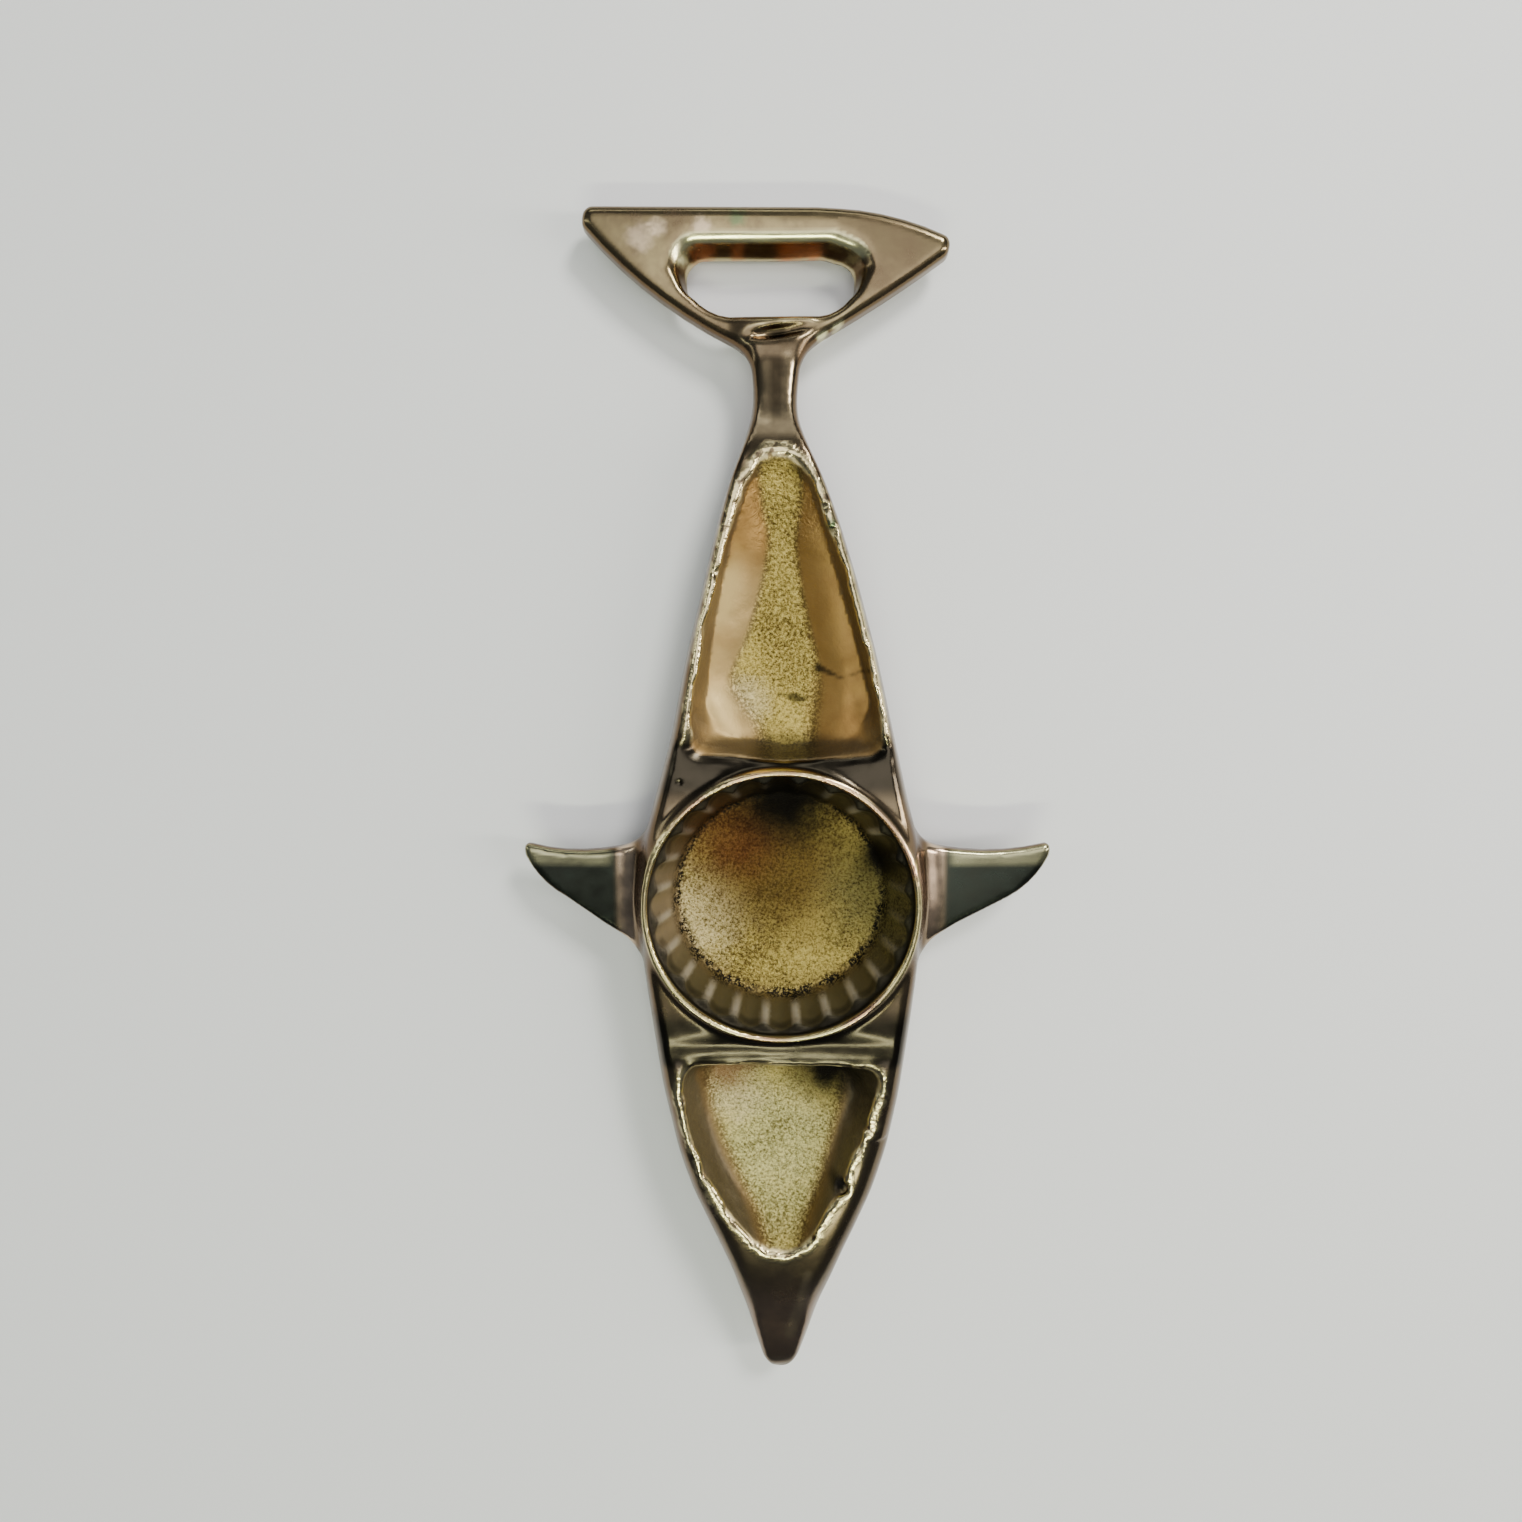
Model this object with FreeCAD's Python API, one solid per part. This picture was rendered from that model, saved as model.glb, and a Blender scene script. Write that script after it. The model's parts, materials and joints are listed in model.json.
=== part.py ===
import FreeCAD, Part
import math
import os

from FreeCAD import Vector

# A fish-shaped bottle opener, sand-cast in one piece of brass and polished.
# It lies on its back, with its three hollows facing up.
#
# While it is being made, the axis of the crown-cap socket is x = y = 0, the
# tail points along +Y, the beak along -Y, and the back rests on z = 0.
# Every size is in millimetres.

# The casting as a whole
RING_TOP = 12.0           # height of the ring, the highest part
BEAK_TIP = -65.4          # front end of the casting
PARTING = 6.5             # height of the hull's widest line
REST_CUT = 0.25           # how much of the rounded back is rubbed flat
REACH_LEFT = 31.8         # socket axis to the tip of the left fin
REACH_RIGHT = 33.7        # socket axis to the tip of the right fin

# Crown-cap socket: a 32 mm cap drops into it
LIP_RADIUS = 16.2         # inside of the thin lip
RING_RADIUS = 17.2        # outside of the ring
RING_FOOT = 8.0           # the ring grows out of the hull above this height
SHELF_DROP = 1.3          # the flutes stop this far below the lip
SHELF_RADIUS = 15.4       # wall radius just below the shelf
FLOOR_RADIUS = 12.85
FLOOR_HEIGHT = 4.0
FLUTES = 24
FLUTE_TOP = 0.65          # radius of a flute at the shelf
FLUTE_FOOT = 0.15         # radius of a flute at the floor

# Tail plate with the cap-lifter window
PLATE_BOTTOM = 2.4
PLATE_TOP = 5.7
PLATE_EDGE = 1.2          # rounding of the plate's long edges
TAIL_BACK_EDGE = 82.1     # rear end of the casting
HOOK_TOE = 76.4           # rear edge of the window on the back face
HOOK_HEEL = 78.7          # the same edge on the front face, after the hook's slope
WINDOW_FRONT = 69.7       # edge of the window nearest the shank

# Corners of the flukes: x, y, rounding. The left tip is blunt, the right one sharp.
FLUKES = [
    (-22.4, TAIL_BACK_EDGE, 1.6),
    (-4.0, TAIL_BACK_EDGE, 60.0),
    (11.5, 81.2, 20.0),
    (20.6, 77.7, 1.4),
    (11.3, 70.8, 60.0),
    (2.6, 64.4, 2.5),
    (-4.6, 64.4, 2.5),
    (-14.0, 70.4, 60.0),
    (-24.7, 80.4, 1.6),
]
# Corners of the window on the back face and on the front face
WINDOW_BACK = [
    (-12.3, HOOK_TOE, 2.2),
    (10.2, HOOK_TOE, 2.4),
    (4.9, WINDOW_FRONT, 2.2),
    (-8.0, WINDOW_FRONT, 2.2),
]
WINDOW_FACE = [
    (-14.6, HOOK_HEEL, 2.4),
    (11.8, HOOK_HEEL, 2.6),
    (5.0, WINDOW_FRONT - 0.2, 2.2),
    (-8.2, WINDOW_FRONT - 0.2, 2.2),
]

# Fins
FIN_BOTTOM = 4.3
FIN_TOP = 6.8
FIN_EDGE = 0.5            # rounding of the fins' long edges
FIN_BACK = 6.4            # the straight rear edge
FIN_INSIDE = 13.0         # the fins start this far out, inside the hull
TIP_ROUND = 1.1
TIP_OVERSHOOT = 1.24      # how far the tip's corner stands out before it is rounded

# Hull and shank, station by station from the beak to the tail plate:
# y, half width, middle x, deck height, keel height, half width of the deck
HULL = [
    (BEAK_TIP, 1.3, 0.3, 6.4, 4.2, 0.6),
    (-63.6, 2.2, 0.25, 7.0, 3.5, 1.2),
    (-60.0, 3.5, 0.3, 8.0, 2.9, 1.9),
    (-54.7, 5.0, 0.35, 9.3, 2.2, 3.0),
    (-49.0, 6.9, 0.4, 10.5, 1.5, 4.6),
    (-43.3, 9.4, 0.4, 11.1, 0.9, 6.8),
    (-35.0, 12.6, 0.25, 11.4, 0.3, 10.0),
    (-24.0, 15.1, 0.15, 11.6, -0.1, 12.6),
    (-13.0, 16.7, 0.0, 11.7, -REST_CUT, 14.6),
    (0.0, 17.8, 0.0, 11.8, -REST_CUT, 16.4),
    (9.0, 16.6, 0.0, 11.7, -REST_CUT, 14.9),
    (17.4, 14.3, 0.1, 11.6, -REST_CUT, 12.6),
    (27.2, 12.1, 0.1, 11.5, -0.1, 10.9),
    (36.8, 9.8, -0.1, 11.2, 0.5, 8.8),
    (46.2, 7.2, -0.35, 10.8, 1.5, 6.3),
    (51.5, 5.2, -0.6, 10.5, 2.3, 4.5),
    (55.4, 3.5, -0.8, 9.8, 2.8, 2.8),
    (58.8, 2.7, -0.8, 8.3, 3.0, 1.6),
    (63.0, 2.9, -0.8, 7.0, 2.8, 1.6),
    (67.5, 3.7, -0.8, 5.6, 2.5, 2.2),
]

# The two long hollows: y, half width at the rim, middle x, floor height
AFT_HOLLOW = [
    (18.6, 10.6, 0.6, 10.6),
    (19.4, 11.3, 0.6, 8.4),
    (21.2, 11.4, 0.5, 6.6),
    (25.0, 10.8, 0.4, 5.8),
    (31.0, 9.6, 0.1, 5.7),
    (38.0, 7.9, 0.0, 6.2),
    (45.0, 6.0, -0.3, 7.2),
    (50.0, 4.4, -0.5, 8.3),
    (53.5, 2.9, -0.5, 9.3),
    (55.2, 1.4, -0.5, 10.0),
]
NOSE_HOLLOW = [
    (-45.9, 1.3, 0.4, 10.4),
    (-44.0, 3.3, 0.1, 9.2),
    (-41.0, 5.4, 0.1, 7.6),
    (-35.5, 8.4, -0.4, 6.3),
    (-29.0, 10.6, -0.5, 5.9),
    (-24.0, 12.0, -0.3, 6.0),
    (-21.6, 12.3, 0.0, 6.8),
    (-20.4, 12.3, 0.1, 8.6),
    (-19.7, 12.0, 0.1, 10.6),
]
RIM_CLEAR = 0.8           # the cutting shapes stand this far above the rim

# Where the work frame's origin lies: bottom centre of the casting's box
FRAME_SHIFT = Vector(
    (REACH_LEFT - REACH_RIGHT) / 2, -(BEAK_TIP + TAIL_BACK_EDGE) / 2, 0)


def quarter(start, corner, end):
    """A quarter of an ellipse from start to end, bulging towards corner."""
    curve = Part.BezierCurve()
    curve.setPoles([start, corner, end])
    curve.setWeight(2, math.sqrt(0.5))
    return curve.toShape()


def line(start, end):
    return Part.makeLine(start, end)


def hull_section(y, half, middle, deck, keel, deck_half):
    """One closed cross-section: flat deck, rounded shoulders, elliptical back."""
    wide = min(PARTING, (deck + keel) / 2 + 0.4)
    deck_left = Vector(middle - deck_half, y, deck)
    deck_right = Vector(middle + deck_half, y, deck)
    left = Vector(middle - half, y, wide)
    right = Vector(middle + half, y, wide)
    bottom = Vector(middle, y, keel)
    edges = [
        line(deck_left, deck_right),
        quarter(deck_right, Vector(right.x, y, deck), right),
        quarter(right, Vector(right.x, y, keel), bottom),
        quarter(bottom, Vector(left.x, y, keel), left),
        quarter(left, Vector(left.x, y, deck), deck_left),
    ]
    return Part.Wire(edges)


def hollow_section(y, half, middle, floor):
    """One cross-section of a hollow, a half ellipse hung from above the rim."""
    top = RING_TOP + RIM_CLEAR
    top_left = Vector(middle - half, y, top)
    top_right = Vector(middle + half, y, top)
    bottom = Vector(middle, y, floor)
    edges = [
        quarter(top_left, Vector(top_left.x, y, floor), bottom),
        quarter(bottom, Vector(top_right.x, y, floor), top_right),
        line(top_right, top_left),
    ]
    return Part.Wire(edges)


def make_hull():
    sections = [hull_section(*station) for station in HULL]
    return Part.makeLoft(sections, True, False)


def make_hollow(stations):
    sections = [hollow_section(*station) for station in stations]
    return Part.makeLoft(sections, True, False)


def make_ring():
    height = RING_TOP - RING_FOOT
    return Part.makeCylinder(RING_RADIUS, height, Vector(0, 0, RING_FOOT))


def make_socket():
    """The space inside the socket: a tapered, fluted cup under a plain lip."""
    shelf = RING_TOP - SHELF_DROP
    depth = shelf - FLOOR_HEIGHT
    floor = Vector(0, 0, FLOOR_HEIGHT)
    space = Part.makeCone(FLOOR_RADIUS, SHELF_RADIUS, depth, floor)
    space = space.fuse(Part.makeCylinder(LIP_RADIUS, SHELF_DROP + RIM_CLEAR, Vector(0, 0, shelf)))
    for count in range(FLUTES):
        angle = 2 * math.pi * count / FLUTES
        foot = Vector(FLOOR_RADIUS * math.cos(angle), FLOOR_RADIUS * math.sin(angle), FLOOR_HEIGHT)
        head = Vector(SHELF_RADIUS * math.cos(angle), SHELF_RADIUS * math.sin(angle), shelf)
        run = head - foot
        space = space.fuse(Part.makeCone(FLUTE_FOOT, FLUTE_TOP, run.Length, foot, run))
    return space


def rounded_outline(corners, height):
    """A closed wire through (x, y, radius) corners, each rounded by its radius."""
    count = len(corners)
    edges = []
    previous_end = None
    first_start = None
    for index in range(count):
        before = Vector(*corners[index - 1][:2], height)
        here = Vector(*corners[index][:2], height)
        after = Vector(*corners[(index + 1) % count][:2], height)
        radius = corners[index][2]
        back = (before - here).normalize()
        ahead = (after - here).normalize()
        half_angle = back.getAngle(ahead) / 2
        setback = radius / math.tan(half_angle)
        start = here + back * setback
        end = here + ahead * setback
        towards = (back + ahead).normalize()
        middle = here + towards * (radius / math.sin(half_angle) - radius)
        if previous_end is None:
            first_start = start
        else:
            edges.append(line(previous_end, start))
        edges.append(Part.Arc(start, middle, end).toShape())
        previous_end = end
    edges.append(line(previous_end, first_start))
    return Part.Wire(edges)


def plate(wire, thickness, rounding):
    """A flat plate raised from an outline, with its long edges rounded."""
    solid = Part.Face(wire).extrude(Vector(0, 0, thickness))
    edges = [edge for edge in solid.Edges if edge.BoundBox.ZLength < thickness / 2]
    return solid.makeFillet(rounding, edges)


def make_tail():
    """The flukes: a slanted triangular plate."""
    return plate(rounded_outline(FLUKES, PLATE_BOTTOM), PLATE_TOP - PLATE_BOTTOM, PLATE_EDGE)


def make_window():
    """The cap-lifter window, whose rear edge slopes to leave a hook on the back face."""
    low = rounded_outline(WINDOW_BACK, PLATE_BOTTOM)
    high = rounded_outline(WINDOW_FACE, PLATE_TOP)
    below = Part.Face(low).extrude(Vector(0, 0, -RIM_CLEAR))
    above = Part.Face(high).extrude(Vector(0, 0, RIM_CLEAR))
    return Part.makeLoft([low, high], True, True).fuse([below, above])


def make_fin(side, reach):
    """A swept fin: straight at the back, curved in front, faired into the flank."""
    corners = [
        (side * FIN_INSIDE, 9.8, 0.6),
        (side * 16.6, 9.8, 0.6),
        (side * 18.0, FIN_BACK, 2.4),
        (side * (reach + TIP_OVERSHOOT), FIN_BACK, TIP_ROUND),
        (side * (reach - 4.4), -0.4, 9.0),
        (side * 16.6, -7.8, 0.6),
        (side * FIN_INSIDE, -7.8, 0.6),
    ]
    return plate(rounded_outline(corners, FIN_BOTTOM), FIN_TOP - FIN_BOTTOM, FIN_EDGE)


def below_rest_plane():
    """Everything under z = 0, where the back is rubbed flat."""
    side = 2 * TAIL_BACK_EDGE
    return Part.makeBox(side, side, PARTING, Vector(-side / 2, -side / 2, -PARTING))


def make_casting():
    casting = make_hull().fuse([make_ring(), make_tail()])
    for side, reach in ((-1, REACH_LEFT), (1, REACH_RIGHT)):
        casting = casting.fuse(make_fin(side, reach))
    casting = casting.cut([make_socket(), make_window()])
    casting = casting.cut([make_hollow(AFT_HOLLOW), make_hollow(NOSE_HOLLOW)])
    casting = casting.cut(below_rest_plane())
    casting.translate(FRAME_SHIFT)
    return casting


opener = make_casting()
os.makedirs("parts", exist_ok=True)
opener.exportStep("parts/opener_casting.step")
box = opener.optimalBoundingBox()
print("valid", opener.isValid(), "solids", len(opener.Solids), "faces", len(opener.Faces))
print("volume cm3", round(opener.Volume / 1000, 2))
print("box", [round(v, 2) for v in (box.XMin, box.XMax, box.YMin, box.YMax, box.ZMin, box.ZMax)])
print("centre of mass", [round(v, 2) for v in opener.Solids[0].CenterOfMass])
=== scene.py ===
import json
import math

import bpy
import numpy as np
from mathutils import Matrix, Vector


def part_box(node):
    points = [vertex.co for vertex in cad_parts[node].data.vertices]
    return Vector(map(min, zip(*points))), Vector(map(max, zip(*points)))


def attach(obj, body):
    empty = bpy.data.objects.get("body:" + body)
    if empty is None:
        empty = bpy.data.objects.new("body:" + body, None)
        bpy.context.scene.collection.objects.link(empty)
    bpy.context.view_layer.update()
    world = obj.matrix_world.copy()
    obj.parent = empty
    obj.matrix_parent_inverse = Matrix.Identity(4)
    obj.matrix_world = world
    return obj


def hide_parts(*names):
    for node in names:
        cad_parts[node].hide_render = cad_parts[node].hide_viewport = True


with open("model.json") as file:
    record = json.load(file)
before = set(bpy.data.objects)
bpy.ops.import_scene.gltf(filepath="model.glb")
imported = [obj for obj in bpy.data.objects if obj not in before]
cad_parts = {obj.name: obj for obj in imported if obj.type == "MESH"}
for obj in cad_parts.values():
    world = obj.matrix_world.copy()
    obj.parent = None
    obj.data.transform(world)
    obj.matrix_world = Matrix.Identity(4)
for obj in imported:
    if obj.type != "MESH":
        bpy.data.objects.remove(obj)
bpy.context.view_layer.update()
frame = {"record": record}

MM = 0.001

# How closely the surface is worked out, and a distance well outside the metal
FINE_STEP = 0.37
FAR = 1e3

# The whole opener is one brass casting. Its shape is worked out here as a
# field: a function of place that is negative inside the metal. All of it is
# in millimetres, with the socket's axis at x = y = 0, the tail along +Y and
# the back resting on z = 0.
mounts = {mount["name"]: mount["pos_m"] for mount in frame["record"]["mounts"]}
RING_TOP = mounts["cap_socket"][2] / MM
SOCKET_AXIS = np.array([mounts["cap_socket"][0], mounts["cap_socket"][1], 0.0])
(LOW_X, LOW_Y, LOW_Z), (HIGH_X, HIGH_Y, HIGH_Z) = [
    (np.array(corner) - SOCKET_AXIS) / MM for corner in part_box("opener_casting")]
BEAK_TIP = LOW_Y
TAIL_BACK = HIGH_Y


def arc(start, through, end, count):
    """Points on the arc from start to end, both included."""
    ax, ay = np.subtract(through, start)
    bx, by = np.subtract(end, start)
    cross = 2 * (ax * by - ay * bx)
    centre_x = (by * (ax ** 2 + ay ** 2) - ay * (bx ** 2 + by ** 2)) / cross
    centre_y = (ax * (bx ** 2 + by ** 2) - bx * (ax ** 2 + ay ** 2)) / cross
    radius = math.hypot(centre_x, centre_y)
    first = math.atan2(-centre_y, -centre_x)
    last = math.atan2(by - centre_y, bx - centre_x)
    sweep = (last - first + math.pi) % (2 * math.pi) - math.pi
    return [(start[0] + centre_x + radius * math.cos(first + sweep * step / count),
             start[1] + centre_y + radius * math.sin(first + sweep * step / count))
            for step in range(count + 1)]


# Socket
LIP_INSIDE = 16.2
LIP_OUTSIDE = 16.78
RING_HALF = 2.5
RING_EDGE = 0.34
RING_FOOT = RING_TOP - 4.5
SHELF = RING_TOP - 1.3
WALL_TOP = 15.55
WALL_FOOT = 12.85
FLOOR = 3.7
FLUTES = 24

# Tail plate, and how its window widens towards the front face
PLATE_MIDDLE = 4.05
PLATE_HALF = 1.65
PLATE_EDGE = 1.0
PLATE_SAG = 0.012
WINDOW_MIDDLE = -1.3
WINDOW_SPREAD = 0.2
SPREAD_FROM = 71.5
SPREAD_RUN = 3.5
HOOK_START = 73.0
HOOK_SPREAD = 0.74

# Fins, thinner towards the tip
FIN_MIDDLE = 5.6
FIN_EDGE = 0.6
FIN_ROOT = 15.0
FIN_HALF = (1.35, 0.8)

# Deck, keel and the dents in them
HULL_WIDEST = 6.5
TAIL_END = 68.5
BEAK_START = -30
BEAK_LEAN_LEFT = 0.20
BEAK_LEAN_RIGHT = 0.62
SHOULDER_POWER = 2.3
BELLY_POWER = 2.1
LAND_MIDDLE = 18.4
LAND_HEIGHT = 10.7
DIMPLE = (-0.4, 67.9, 6.2)
DIMPLE_SIZE = (3.4, 0.75, 0.9)
DIMPLE_TILT = 0.14

# How softly one shape runs into the next
FIN_FILLET = 2.8
RING_FILLET = 1.4
TAIL_FILLET = 2.6
WINDOW_EDGE = 0.9
BEAK_EDGE = 2.2

# Hull stations: y, half width, middle x, deck height, keel height, half width of the deck
HULL = np.array([
    (BEAK_TIP, 2.0, 0.3, 6.3, 3.8, 1.1),
    (-63.4, 2.6, 0.25, 6.9, 3.3, 1.5),
    (-60.5, 3.4, 0.35, 7.7, 2.9, 2.1),
    (-54.7, 4.95, 0.4, 9.1, 2.2, 3.1),
    (-49.0, 6.8, 0.45, 10.3, 1.5, 3.8),
    (-46.0, 8.1, 0.4, 10.8, 1.2, 4.2),
    (-43.3, 9.3, 0.4, 11.1, 0.9, 5.2),
    (-37.7, 11.7, 0.3, 11.3, 0.5, 8.0),
    (-32.2, 13.4, 0.25, 11.4, 0.2, 10.1),
    (-24.0, 15.1, 0.15, 11.4, -0.1, 12.3),
    (-16.0, 16.2, 0.1, 11.4, -0.25, 13.6),
    (-8.0, 17.2, 0.0, 11.3, -0.25, 15.2),
    (0.0, 17.7, 0.0, 11.3, -0.25, 16.0),
    (7.0, 17.1, 0.0, 11.3, -0.25, 15.2),
    (12.4, 15.6, 0.0, 11.4, -0.25, 13.7),
    (19.9, 13.7, 0.2, 11.4, -0.2, 12.0),
    (29.6, 11.6, 0.05, 11.4, 0.1, 10.2),
    (39.2, 9.1, -0.1, 11.1, 0.7, 8.0),
    (46.2, 7.1, -0.35, 10.8, 1.5, 6.2),
    (50.8, 5.5, -0.55, 10.6, 2.2, 4.9),
    (54.4, 3.9, -0.75, 10.3, 2.7, 3.3),
    (57.7, 2.7, -0.85, 8.5, 3.0, 1.7),
    (60.0, 2.5, -0.75, 7.7, 3.0, 1.4),
    (63.0, 2.75, -0.7, 6.9, 2.8, 1.6),
    (66.5, 3.2, -0.7, 5.9, 2.5, 2.0),
    (70.0, 4.0, -0.8, 4.6, 2.4, 2.6),
])

# Small flaws in the casting: x, y, z and radius of each pit
PITS = [
    (-7.3, 39.9, 11.3, 0.75),
    (5.9, 44.7, 10.9, 0.55),
    (4.8, 47.4, 10.7, 0.45),
    (8.3, 32.9, 10.6, 0.4),
    (-11.7, 17.3, 11.7, 0.5),
    (-12.2, 15.3, 11.8, 0.55),
    (7.6, -36.4, 10.4, 1.1),
    (-13.5, -11.1, 12.2, 0.45),
]

# Hairline cracks in the aft hollow, each from one place to another
CRACKS = [((4.6, 28.6), (7.2, 27.5)), ((7.2, 27.5), (10.9, 28.7)), ((-0.3, 25.3), (4.2, 24.6))]

# Lighter streaks: a painted highlight along the beak's ridge, and worn patina down the shank
STREAKS = [((3.6, -48.5), (1.5, -59.0)), ((-2.0, 57.5), (-1.9, 64.0)), ((0.5, 58.5), (0.7, 65.0))]

# Tail plate and its window. An outline is a few corners, rounded by a radius.
FLUKE_RADIUS = 1.3
PLATE_DRAFT = 0.1
FLUKES = (
    [(-21.95, 80.7), (4.0, 80.5)]
    + arc((6.5, 80.35), (12.8, 79.45), (18.3, 77.6), 5)
    + arc((18.2, 77.2), (10.0, 71.8), (1.4, 66.9), 7)
    + arc((-3.2, 66.9), (-13.0, 72.3), (-22.0, 80.3), 8)
)
WINDOW_RADIUS = 2.1
WINDOW = (
    [(-8.9, 74.0), (4.4, 74.0), (6.2, 73.5)]
    + arc((6.25, 72.9), (5.6, 72.3), (4.2, 71.8), 4)
    + arc((-6.0, 71.65), (-7.7, 72.2), (-8.9, 73.2), 4)
)

# Fins
FIN_RADIUS = 0.6
FIN_REACH = {-1: 0.3 - LOW_X, 1: HIGH_X + 0.1}

# Rims of the two long hollows
RIM_RADIUS = 2.0
AFT_RIM = (
    arc((-9.3, 20.2), (-6.7, 35.2), (-2.5, 50.8), 7)
    + arc((-2.0, 52.2), (-0.5, 53.4), (0.9, 52.3), 3)
    + arc((1.5, 50.8), (6.8, 35.0), (10.2, 20.1), 7)
    + [(0.4, 19.6)]
)
NOSE_RIM = (
    arc((-10.4, -23.6), (-7.6, -34.0), (-1.4, -43.0), 8)
    + arc((-0.9, -43.5), (0.4, -43.9), (1.6, -43.2), 2)
    + arc((2.2, -42.4), (5.8, -35.2), (9.9, -24.0), 8)
    + [(10.3, -22.3), (-10.2, -22.0)]
)

# Where the walls of the two long hollows end, lower down
FOOT_RADIUS = 2.4
AFT_FOOT = (
    arc((-6.6, 24.6), (-5.2, 35.5), (-1.7, 48.8), 5)
    + arc((0.9, 48.8), (5.3, 35.5), (8.3, 24.6), 5)
    + [(7.4, 22.7), (0.9, 21.7), (-5.4, 22.8)]
)
NOSE_FOOT = (
    arc((-7.0, -25.6), (-5.7, -32.5), (-1.0, -39.6), 5)
    + arc((1.8, -39.4), (4.4, -32.5), (6.9, -25.8), 5)
    + [(6.3, -24.6), (-6.4, -24.4)]
)

# Beds of the hollows: y, floor height, middle x, half width of the sandy bed
AFT_BED = np.array([
    (19.0, 5.9, 0.8, 2.8),
    (21.0, 5.7, 0.6, 3.1),
    (24.0, 5.5, -0.2, 4.2),
    (26.6, 5.5, -0.9, 5.3),
    (29.4, 5.5, -0.5, 4.8),
    (32.3, 5.6, -0.2, 3.7),
    (36.6, 5.9, -0.1, 2.6),
    (39.9, 6.3, 0.0, 1.9),
    (43.6, 7.0, 0.1, 1.3),
    (48.0, 7.9, 0.0, 2.1),
    (52.0, 8.9, -0.3, 2.3),
    (54.5, 9.6, -0.4, 1.6),
])
NOSE_BED = np.array([
    (-46.0, 8.0, 0.4, 0.8),
    (-42.0, 6.9, 0.3, 2.2),
    (-38.0, 6.2, 0.1, 4.0),
    (-33.0, 5.7, -0.4, 5.8),
    (-28.0, 5.4, -0.6, 7.3),
    (-24.0, 5.6, -0.6, 8.0),
    (-20.0, 6.2, -0.4, 8.4),
])


def profile(stations, column, softness=1.2):
    """A smooth curve through one column of a table of stations."""
    step = 0.25
    dense = np.arange(stations[0, 0] - 10, stations[-1, 0] + 10, step)
    values = np.interp(dense, stations[:, 0], stations[:, column])
    reach = int(3 * softness / step)
    bell = np.exp(-0.5 * (np.arange(-reach, reach + 1) * step / softness) ** 2)
    padded = np.pad(values, reach, mode="edge")
    smooth = np.convolve(padded, bell / bell.sum(), mode="valid")
    return lambda y: np.interp(y, dense, smooth)


hull_half, hull_middle, hull_deck, hull_keel, hull_deck_half = [
    profile(HULL, column) for column in range(1, 6)]


class Noise:
    """Smooth random lumps: a lattice of random values, blended between its points."""

    SIZE = 32

    def __init__(self, seed, scale):
        self.lattice = np.random.default_rng(seed).uniform(-1, 1, (self.SIZE,) * 3)
        self.scale = scale

    def __call__(self, x, y, z):
        total = 0.0
        places = [np.asarray(axis) / self.scale for axis in (x, y, z)]
        whole = [np.floor(place).astype(int) for place in places]
        parts = [place - floor for place, floor in zip(places, whole)]
        parts = [part * part * (3 - 2 * part) for part in parts]
        for corner in range(8):
            bits = [(corner >> shift) & 1 for shift in range(3)]
            index = tuple((cell + bit) % self.SIZE for cell, bit in zip(whole, bits))
            weight = 1.0
            for part, bit in zip(parts, bits):
                weight = weight * (part if bit else 1 - part)
            total = total + weight * self.lattice[index]
        return total


hand_polish = Noise(3, 7.0)
cast_swell = Noise(5, 3.4)
cast_lump = Noise(8, 1.5)
rim_nibble = Noise(13, 1.9)
rim_fleck = Noise(17, 0.8)


def smooth_min(a, b, reach):
    share = np.clip(0.5 + 0.5 * (b - a) / reach, 0, 1)
    return b + (a - b) * share - reach * share * (1 - share)


def smooth_max(a, b, reach):
    return -smooth_min(-a, -b, reach)


def ease(value, low, high):
    """0 below low, 1 above high, with a smooth step between."""
    t = np.clip((value - low) / (high - low), 0, 1)
    return t * t * (3 - 2 * t)


def oval(across, up, half_across, half_up, power):
    """Distance, to first order, from a superellipse around the origin."""
    u = np.maximum(np.abs(across), 1e-4) / half_across
    v = np.maximum(np.abs(up), 1e-4) / half_up
    q = (u ** power + v ** power) ** (1 / power)
    slope = np.hypot(u ** (power - 1) / half_across, v ** (power - 1) / half_up) * q ** (1 - power)
    return (q - 1) / np.maximum(slope, 1e-3)


def outline_distance(x, y, corners, radius):
    """Signed distance from a rounded outline in the plane."""
    nearest = np.full(np.broadcast(x, y).shape, 1e9)
    inside = np.zeros(nearest.shape, bool)
    for (x0, y0), (x1, y1) in zip(corners, corners[1:] + corners[:1]):
        run_x, run_y = x1 - x0, y1 - y0
        along = ((x - x0) * run_x + (y - y0) * run_y) / (run_x ** 2 + run_y ** 2)
        along = np.clip(along, 0, 1)
        gap = (x - x0 - run_x * along) ** 2 + (y - y0 - run_y * along) ** 2
        nearest = np.minimum(nearest, gap)
        if run_y != 0:
            crosses = ((y0 > y) != (y1 > y)) & (x < x0 + run_x * (y - y0) / run_y)
            inside ^= crosses
    return np.where(inside, -1, 1) * np.sqrt(nearest) - radius


def slab(flat_distance, height, half, rounding):
    """An outline given a thickness, with rounded edges."""
    a = flat_distance + rounding
    b = np.abs(height) - half + rounding
    outside = np.hypot(np.maximum(a, 0), np.maximum(b, 0))
    return outside + np.minimum(np.maximum(a, b), 0) - rounding


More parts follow.
